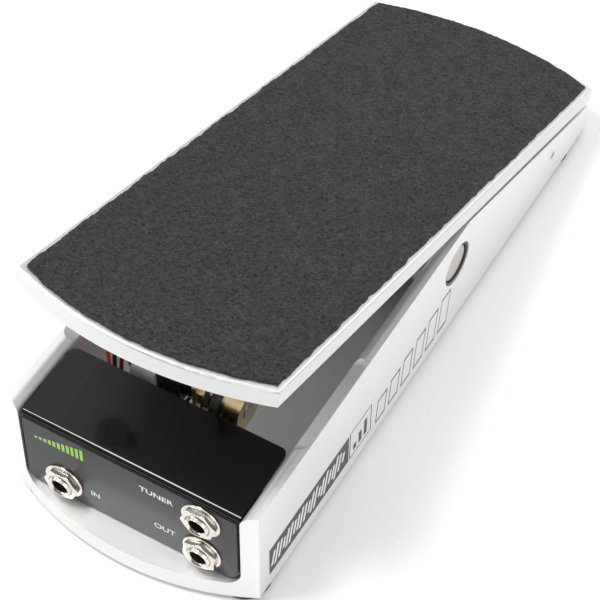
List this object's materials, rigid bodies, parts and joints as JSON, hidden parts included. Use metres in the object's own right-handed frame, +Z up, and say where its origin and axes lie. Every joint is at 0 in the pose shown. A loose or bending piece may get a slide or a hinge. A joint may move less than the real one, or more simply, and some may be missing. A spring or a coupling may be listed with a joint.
{
  "type": "volume pedal",
  "caption": "Foot volume pedal: a channel-shaped metal base, a pivoting treadle with a gritty grip sheet, a cord-driven potentiometer and jack sockets at the toe.",
  "frame": {"origin": "on the floor, under the middle of the whole pedal", "axes": "+Z up, +X across the pedal to its right side, +Y from the toe end with the sockets to the heel end"},
  "size_m": [0.1016, 0.288, 0.1112],
  "materials": {
    "satin_aluminium": "bead-blasted satin, clear anodised",
    "lug_aluminium": "machined satin",
    "grit": "coarse black mineral grit on an adhesive sheet",
    "black_rubber": "matt moulded rubber",
    "clear_bumper": "milky polyurethane",
    "steel": "turned and bright-plated",
    "dark_screws": "black oxide",
    "dark_nylon": "moulded",
    "white_nylon": "moulded",
    "gloss_black": "high-gloss black enamel",
    "panel_grey": "satin printed overlay",
    "nickel": "bright nickel plate",
    "tin": "tinned",
    "black_plastic": "moulded, semi-gloss",
    "yellow_zinc": "yellow-zinc plate",
    "drum_brass": "turned brass",
    "cord_black": "waxed braided cord",
    "orange_insulation": "soft PVC insulation",
    "brown_insulation": "soft PVC insulation",
    "red_insulation": "soft PVC insulation"
  },
  "bodies": {
    "base": {"axle_bushing_left": "dark_nylon", "axle_bushing_right": "dark_nylon", "base_channel": "satin_aluminium", "bracket_screws": "steel", "cord_front_run": "cord_black", "cord_rear_run": "cord_black", "cord_toe_run": "cord_black", "cover_screws": "dark_screws", "electronics_cover": "gloss_black", "foot_screws": "dark_screws", "front_panel": "panel_grey", "guide_pin": "steel", "heel_stops": "black_rubber", "input_jack": "nickel", "jack_housings": "black_plastic", "jack_nuts": "nickel", "jack_terminals": "tin", "jack_washers": "nickel", "output_jack": "nickel", "pin_collars": "steel", "pot_body": "black_plastic", "pot_bracket": "yellow_zinc", "pot_can": "steel", "pot_nut": "yellow_zinc", "pot_terminals": "tin", "rubber_feet": "black_rubber", "tuner_jack": "nickel", "wire_brown": "brown_insulation", "wire_orange": "orange_insulation", "wire_red": "red_insulation"},
    "treadle": {"treadle_plate": "satin_aluminium", "grip_sheet": "grit", "pivot_lug_left": "lug_aluminium", "pivot_lug_right": "lug_aluminium", "pivot_axle": "steel", "thrust_washers": "white_nylon", "axle_set_screws": "dark_screws", "lug_screws": "steel", "toe_cord_post": "steel", "heel_cord_post": "steel", "toe_stops": "clear_bumper"},
    "drum": {"cord_drum": "drum_brass", "pot_shaft": "steel", "drum_set_screw": "dark_screws", "cord_wraps": "cord_black"},
    "heel_roller": {"guide_roller": "white_nylon"},
    "cord_shuttle": {"tension_spring": "steel", "cord_ferrules": "steel"}
  },
  "joints": [
    {"name": "treadle_pivot", "type": "hinge", "parent": "base", "child": "treadle", "pos_m": [0, 0.01265, 0.0365], "axis": [1, 0, 0], "range_deg": [0, 18.5], "deforming": ["cord_toe_run", "cord_rear_run", "cord_front_run"]},
    {"name": "drum_turn", "type": "hinge", "parent": "base", "child": "drum", "pos_m": [0, -0.08635, 0.0395], "axis": [1, 0, 0], "range_deg": [0, 251.9]},
    {"name": "roller_turn", "type": "hinge", "parent": "base", "child": "heel_roller", "pos_m": [0, 0.09765, 0.0164], "axis": [1, 0, 0], "range_deg": [0, 461.7]},
    {"name": "cord_travel", "type": "slide", "parent": "base", "child": "cord_shuttle", "axis": [0, 0.9943, -0.1065], "range_m": [0, 0.0332], "deforming": ["cord_front_run", "cord_rear_run"]}
  ],
  "couplings": [
    {"joint": "drum_turn", "follows": "treadle_pivot", "ratio": 13.591},
    {"joint": "roller_turn", "follows": "treadle_pivot", "ratio": 24.928},
    {"joint": "cord_travel", "follows": "treadle_pivot", "m_per_rad": 0.1022}
  ]
}
